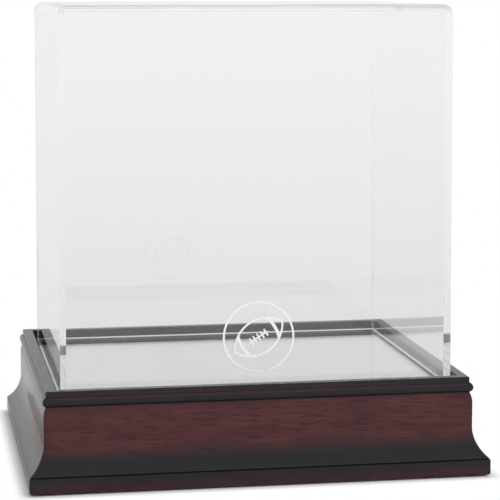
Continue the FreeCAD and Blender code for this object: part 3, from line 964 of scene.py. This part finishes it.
@dataclass
class ClearCover:
    """One bent sheet for the left wall, top and right wall, with a flat panel at the front and back."""

    width: float = 182.6
    splay: float = 1.0
    depth: float = 150.2
    bond: float = 0.02
    bottom: float = 42.4
    top: float = 220.2
    sheet: float = 3.0
    bend: float = 4.5
    panel_ease: float = 0.15
    wall_scrape: float = 0.8
    panel_scrape: float = 0.1
    finish: ClearAcrylic = ClearAcrylic()
    # Cement makes one piece of two sheets, so the eye gets no edge there.
    bonded: ClearAcrylic = ClearAcrylic(name="cemented_acrylic_joint", tint="#ffffff", bending=1.0)
    # A saw leaves the feet matt white.
    sawn: EtchedFrost = EtchedFrost(
        name="saw_cut_acrylic_edge", dark="#f4f5f6", light="#fcfdfd", size=(0.8, 0.8, 0.8)
    )
    cement: CementFilm = CementFilm()

    def path(self, offset: float, scrape: float, lift: float = 0.0) -> np.ndarray:
        """A path from the right foot over the top to the left foot: lines and quarter turns.

        Args:
            offset: how far it is set in from the outside.
            scrape: how far the points next to its ends and bends stand from them.
            lift: how far its two ends stand over the foot.

        Returns:
            Points (across, up) in millimetres.
        """
        half = self.width / 2.0 - offset
        radius = self.bend - offset
        roof = self.top - offset
        outline = np.concatenate([
            [(half + self.splay, self.bottom + lift)],
            arc((half - radius, roof - radius), radius, 0.0, 90.0, 24),
            arc((radius - half, roof - radius), radius, 90.0, 180.0, 24),
            [(-half - self.splay, self.bottom + lift)],
        ])
        return guarded(outline, scrape, False)

    def bent_strip(
        self, name: str, back: float, front: float, finish: Material, edges: Sequence[Material] = ()
    ) -> Piece:
        """Makes a bent strip: the outer and inner paths carried from back to front and closed by quads.

        Args:
            name: the piece's name.
            back: where it starts at the back.
            front: where it ends towards the front.
            finish: its material.
            edges: the materials of its bonded edges and of its feet, where these differ from its own.

        Returns:
            The strip, with the way along it and across it in its seam attribute.
        """
        outer = self.path(0.0, self.wall_scrape)
        count = len(outer)
        section = np.concatenate([outer, self.path(self.sheet, self.wall_scrape)[::-1]])
        around = len(section)
        points = np.stack([np.insert(section, 1, level, axis=1) for level in (back, front)])
        skin = swept_faces(2, around, ring=False)[:-2]
        # Both feet are sawn below, and the right one is scraped at the end of its outer side as well.
        feet = [skin.pop(at) for at in (around - 1, count - 1, 0)]
        first = np.arange(count - 1)
        partner = around - 1 - first
        near = np.stack([first, first + 1, partner - 1, partner], axis=1) + around
        far = np.stack([first, partner, partner - 1, first + 1], axis=1)
        joints = near.tolist() + far.tolist()
        piece = make_piece(name, points * MM, skin + joints + feet, finish, Body.COVER)
        if edges:
            share_faces(piece, (edges[0], len(joints)), (edges[1], len(feet)))
        run = np.concatenate([[0.0], np.cumsum(np.linalg.norm(np.diff(outer, axis=0), axis=1))])
        seam = np.zeros((2, around, 3))
        seam[..., 0] = np.concatenate([run, run[::-1]]) - run[-1] / 2.0
        seam[:, count:, 1] = self.sheet
        layer = piece.data.attributes.new("seam", "FLOAT_VECTOR", "POINT")
        layer.data.foreach_set("vector", (seam * MM).ravel())
        return piece

    def panel(self, name: str, turn: float, finish: Material, edges: Sequence[Material]) -> Piece:
        """Makes a flat panel: one path at four stages, from the bonded strip to the eased outer face.

        Args:
            name: the node that the panel stands for.
            turn: 1 for the front panel and -1 for the back one, which is the same turned half round.
            finish: its material.
            edges: the materials of its bonded strip and of its foot.

        Returns:
            The panel.
        """
        outside = self.depth / 2.0
        inside = outside - self.sheet
        stages = [
            (self.path(self.sheet, self.panel_scrape), inside),
            (self.path(0.0, self.panel_scrape), inside),
            (self.path(0.0, self.panel_scrape), outside - self.panel_ease),
            (self.path(self.panel_ease, self.panel_scrape, self.panel_ease), outside),
        ]
        points = np.stack([np.insert(path, 1, -level, axis=1) for path, level in stages])
        points *= (turn * MM, turn * MM, MM)
        place = np.arange(points[..., 0].size).reshape(points.shape[:2])
        bands = np.stack([place[:-1, :-1], place[:-1, 1:], place[1:, 1:], place[1:, :-1]], axis=-1).tolist()
        right, left = place[:, 0].tolist(), place[:, -1].tolist()
        foot = [
            [right[2], left[2], left[1], left[0], right[0], right[1]],
            [right[2], right[3], left[3], left[2]],
            place[3, [0, 1, -2, -1]].tolist(),
        ]
        clear = bands[1] + bands[2] + [place[3, 1:-1].tolist(), place[0, ::-1].tolist()]
        faces = clear + bands[0] + foot
        piece = make_piece(name + "_show", points, faces, finish, Body.COVER)
        share_faces(piece, (edges[0], len(bands[0])), (edges[1], len(foot)))
        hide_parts(name)
        return piece

    def build(self) -> list[Piece]:
        """Makes the bent sheet, its two panels and the cement between them.

        Returns:
            The sheet, the two cement films and the two panels.
        """
        finish = self.finish.material()
        cement = self.cement.material()
        edges = (self.bonded.material(), self.sawn.material())
        reach = self.depth / 2.0 - self.sheet - self.bond
        # The cement fills the middle of the bond gap and touches neither sheet.
        near, far = reach + 0.3 * self.bond, reach + 0.7 * self.bond
        sheet = self.bent_strip("cover_bent_sheet", reach, -reach, finish, edges)
        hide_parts("cover_wrap")
        return [
            sheet,
            self.bent_strip("cover_cement_front", -near, -far, cement),
            self.bent_strip("cover_cement_back", far, near, cement),
            self.panel("cover_front_panel", 1.0, finish, edges),
            self.panel("cover_back_panel", -1.0, finish, edges),
        ]


@dataclass
class FrontEngraving:
    """A plain etched football in a ring, low on the front panel."""

    face: float = -75.1
    centre: Pair = (0.0, 67.1)
    relief: float = 0.06
    bite: float = 0.02
    ring_radius: float = 16.4
    ring_line: float = 1.0
    half_length: float = 13.2
    half_height: float = 7.9
    line: float = 0.95
    tilt: float = 32.0
    stripe_at: float = 8.0
    stripe_line: float = 1.5
    stripe_bulge: float = 0.9
    lace_half: float = 5.0
    lace_line: float = 0.8
    stitch_half: float = 1.9
    finish: EtchedFrost = EtchedFrost()

    @property
    def ball_radius(self) -> float:
        """The radius of the arc through the ball's two tips and the middle of its side."""
        return (self.half_length ** 2 + self.half_height ** 2) / (2.0 * self.half_height)

    def ball_outline(self) -> np.ndarray:
        """A pointed oval: two equal arcs that meet at the tips.

        Returns:
            Points in order round the ball.
        """
        radius = self.ball_radius
        turn = math.degrees(math.asin(self.half_length / radius))
        drop = radius - self.half_height
        upper = arc((0.0, -drop), radius, 90.0 + turn, 90.0 - turn, 40)
        lower = arc((0.0, drop), radius, -90.0 + turn, -90.0 - turn, 40)
        return np.concatenate([upper, lower[1:-1]])

    def stripe(self, side: float) -> np.ndarray:
        """A stripe across one end of the ball: a parabola from edge to edge that bulges to the tip.

        Args:
            side: 1 for the right end and -1 for the left one.

        Returns:
            Points from edge to edge.
        """
        radius = self.ball_radius
        half = math.sqrt(radius ** 2 - self.stripe_at ** 2) - (radius - self.half_height)
        across = np.linspace(-half, half, 17)
        bulge = self.stripe_bulge * (1.0 - (across / half) ** 2)
        return np.stack([side * (self.stripe_at + bulge), across], axis=1)

    def laces(self) -> list[np.ndarray]:
        """The lace line and its five cross stitches.

        Returns:
            The points of each.
        """
        seam = np.stack([np.linspace(-self.lace_half, self.lace_half, 9), np.zeros(9)], axis=1)
        places = np.linspace(-0.8, 0.8, 5) * self.lace_half
        ends = np.linspace(-self.stitch_half, self.stitch_half, 3)
        return [seam] + [np.stack([np.full(3, at), ends], axis=1) for at in places]

    def ribbon(self, path: np.ndarray, line: float, ring: bool) -> tuple[np.ndarray, list[list[int]]]:
        """A low rounded ribbon along a path: height is relief times the root of 1 - q squared across it.

        Args:
            path: points on the panel in millimetres, right and up from the motif's middle.
            line: the ribbon's width.
            ring: whether the path closes on itself.

        Returns:
            Points in metres and faces.
        """
        ahead = np.roll(path, -1, axis=0) - np.roll(path, 1, axis=0) if ring else np.gradient(path, axis=0)
        ahead = ahead / np.linalg.norm(ahead, axis=1, keepdims=True)
        left = np.stack([-ahead[:, 1], ahead[:, 0]], axis=1)
        share = np.linspace(-1.0, 1.0, 7)
        spot = path[:, None, :] + left[:, None, :] * (share * line / 2.0)[None, :, None]
        proud = self.relief * np.sqrt(1.0 - share ** 2) - self.bite
        points = np.empty((len(path), len(share), 3))
        points[..., 0] = spot[..., 0] + self.centre[0]
        points[..., 1] = self.face - proud
        points[..., 2] = spot[..., 1] + self.centre[1]
        return points.reshape(-1, 3) * MM, swept_faces(len(path), len(share), ring)

    def build(self) -> list[Piece]:
        """Makes the motif as one piece of closed ribbons.

        Returns:
            The one piece.
        """
        tilt = math.radians(self.tilt)
        turn = np.array([[math.cos(tilt), math.sin(tilt)], [-math.sin(tilt), math.cos(tilt)]])
        circle = arc((0.0, 0.0), self.ring_radius, 0.0, 360.0, 96)[:-1]
        lines = [(circle, self.ring_line, True), (self.ball_outline() @ turn, self.line, True)]
        lines += [(self.stripe(side) @ turn, self.stripe_line, False) for side in (-1.0, 1.0)]
        lines += [(lace @ turn, self.lace_line, False) for lace in self.laces()]
        points, faces, count = [], [], 0
        for path, line, ring in lines:
            spots, quads = self.ribbon(path, line, ring)
            points.append(spots)
            faces += [[count + at for at in quad] for quad in quads]
            count += len(spots)
        spots, finish = np.concatenate(points), self.finish.material()
        return [make_piece("front_panel_etching", spots, faces, finish, Body.COVER)]


@dataclass
class Studio:
    """A pale floor, even white surroundings, one large soft lamp and the camera.

    Lengths are in metres, except the floor's mottling, the lens and the film's width, in millimetres.
    """

    floor_radius: float = 40.0
    floor_dark: str = "#f4f4f3"
    floor_light: str = "#f6f6f5"
    floor_mottle: Triple = (6.0, 6.0, 6.0)
    floor_rough: float = 0.9
    floor_specular: float = 0.1
    footprint: Triple = (0.108, 0.0915, 0.0)
    near_fade: Pair = (0.0, 0.007)
    far_half: float = 0.6
    far_power: float = 1.5
    gloss_share: float = 0.5
    sky: float = 0.76
    lamp_place: Triple = (0.9, -0.8, 0.9)
    lamp_size: float = 0.9
    lamp_power: float = 7.0
    lamp_aim: float = 0.1
    camera_place: Triple = (-0.161499, -0.960908, 0.230707)
    yaw: float = 10.077
    pitch: float = 7.769
    lens: float = 141.83
    film_width: float = 36.0
    sight: float = 200.0

    def seen_share(self, tree: Tree, straight: Any = 1.0, through: Any = 1.0) -> Node:
        """Adds the share of plain white that each kind of ray sees, with 0 for rays that light the case.

        Args:
            tree: the node tree.
            straight: the share for the camera's own rays.
            through: the share for rays through clear sheet; a mirrored ray sees gloss_share of it.

        Returns:
            The share.
        """
        path = add_node(tree, "LightPath")
        kinds = ("Camera", "Glossy", "Transmission")
        camera, glossy, bent = (path.outputs[f"Is {kind} Ray"] for kind in kinds)
        mirrored = add_node(tree, "Math", (glossy, self.gloss_share), operation="MULTIPLY")
        either = add_node(tree, "Math", (mirrored, bent), operation="MAXIMUM")
        shares = [
            add_node(tree, "Math", pair, operation="MULTIPLY")
            for pair in ((camera, straight), (either, through))
        ]
        return add_node(tree, "Math", shares, operation="MAXIMUM")

    def floor(self) -> Piece:
        """Makes the floor: rings of points, from far off inwards, on a matt plane that goes white far off.

        Returns:
            The floor.
        """
        radius = np.append(np.geomspace(self.floor_radius, 0.1, 12), 0.02)
        turn = np.linspace(0.0, 2.0 * math.pi, 96, endpoint=False)
        points = np.zeros((len(radius), len(turn), 3))
        points[..., 0] = radius[:, None] * np.cos(turn)
        points[..., 1] = radius[:, None] * np.sin(turn)
        faces = swept_faces(len(radius), len(turn), ring=False)
        # The cap over the whole floor goes, and the small one in its middle stays.
        del faces[-2]
        mesh = bpy.data.meshes.new("studio_floor")
        mesh.from_pydata(points.reshape(-1, 3).tolist(), [], faces)
        mesh.materials.append(self.floor_finish())
        piece = set_out("studio_floor", mesh)
        return piece

    def floor_finish(self) -> Material:
        """Makes the floor's matt pale finish, which turns to plain white with distance.

        Returns:
            The material.
        """
        made = bpy.data.materials.new("matt_pale_floor")
        made.use_nodes = True
        tree = made.node_tree
        shader = tree.nodes["Principled BSDF"]
        fine = patches(tree, self.floor_mottle)
        tones = {0: fine, 6: linear(self.floor_dark), 7: linear(self.floor_light)}
        fill(tree, shader, {
            "Base Color": add_node(tree, "Mix", tones),
            "Roughness": self.floor_rough,
            "Specular IOR Level": self.floor_specular,
        })
        place = add_node(tree, "TexCoord").outputs["Object"]
        reach = add_node(tree, "VectorMath", (place,), operation="ABSOLUTE")
        beyond = add_node(tree, "VectorMath", (reach, self.footprint), operation="SUBTRACT")
        outside = add_node(tree, "VectorMath", (beyond, (0.0, 0.0, 0.0)), operation="MAXIMUM")
        away = add_node(tree, "VectorMath", (outside,), operation="LENGTH")
        near = add_node(tree, "MapRange", (away, *self.near_fade))
        # Through clear sheet the white comes in slowly: half of it at far_half, nearly all of it far off.
        grown = add_node(tree, "Math", (away, self.far_power), operation="POWER")
        later = add_node(tree, "Math", (grown, self.far_half ** self.far_power), operation="ADD")
        slow = add_node(tree, "Math", (grown, later), operation="DIVIDE")
        white = add_node(tree, "Emission", {"Color": WHITE, "Strength": 1.0})
        shown = add_node(tree, "MixShader", (self.seen_share(tree, near, slow), shader, white))
        fill(tree, tree.nodes["Material Output"], {"Surface": shown})
        return made

    def surroundings(self) -> None:
        """Sets a world that shows plain white and lights the case a little below it."""
        world = bpy.data.worlds.new("studio")
        world.use_nodes = True
        tree = world.node_tree
        light = tree.nodes["Background"]
        fill(tree, light, {"Color": WHITE, "Strength": self.sky})
        white = add_node(tree, "Background", {"Color": WHITE, "Strength": 1.0})
        shown = add_node(tree, "MixShader", (self.seen_share(tree), light, white))
        fill(tree, tree.nodes["World Output"], {"Surface": shown})
        bpy.context.scene.world = world

    def lamp(self) -> Piece:
        """Hangs one large soft lamp at the upper right, turned to the case.

        Returns:
            The lamp.
        """
        light = bpy.data.lights.new("soft_box", "AREA")
        light.shape = "SQUARE"
        light.size = self.lamp_size
        light.energy = self.lamp_power
        piece = set_out("soft_box", light)
        piece.location = self.lamp_place
        across = math.hypot(self.lamp_place[0], self.lamp_place[1])
        tip = math.atan2(across, self.lamp_place[2] - self.lamp_aim)
        piece.rotation_euler = (tip, 0.0, math.atan2(self.lamp_place[0], -self.lamp_place[1]))
        piece.visible_camera = False
        piece.visible_glossy = False
        piece.visible_transmission = False
        return piece

    def camera(self) -> Piece:
        """Sets the camera where the photograph was taken from.

        Returns:
            The camera.
        """
        lens = bpy.data.cameras.new("camera")
        lens.lens = self.lens
        lens.sensor_width = self.film_width
        lens.clip_end = self.sight
        piece = set_out("camera", lens)
        piece.location = self.camera_place
        piece.rotation_euler = (math.radians(90.0 - self.pitch), 0.0, math.radians(-self.yaw))
        bpy.context.scene.camera = piece
        return piece

    def build(self) -> list[Piece]:
        """Sets the whole studio.

        Returns:
            The floor, the lamp and the camera.
        """
        scene = bpy.context.scene
        scene.view_settings.view_transform = "Standard"
        # Light runs many times along the inside of a clear sheet before it leaves by an edge.
        scene.cycles.max_bounces = 96
        scene.cycles.glossy_bounces = 80
        scene.cycles.transmission_bounces = 28
        scene.cycles.transparent_max_bounces = 32
        self.surroundings()
        return [self.floor(), self.lamp(), self.camera()]


def main() -> None:
    """Builds the case's sub-assemblies in order, then the studio round them."""
    logging.basicConfig(level=logging.INFO, format="%(name)s: %(message)s")
    for assembly in (BaseMouldings(), MirrorFloor(), Underside(), ClearCover(), FrontEngraving(), Studio()):
        for piece in assembly.build():
            LOG.info("%s: %s", type(assembly).__name__, piece.name)


if __name__ == "__main__":
    main()
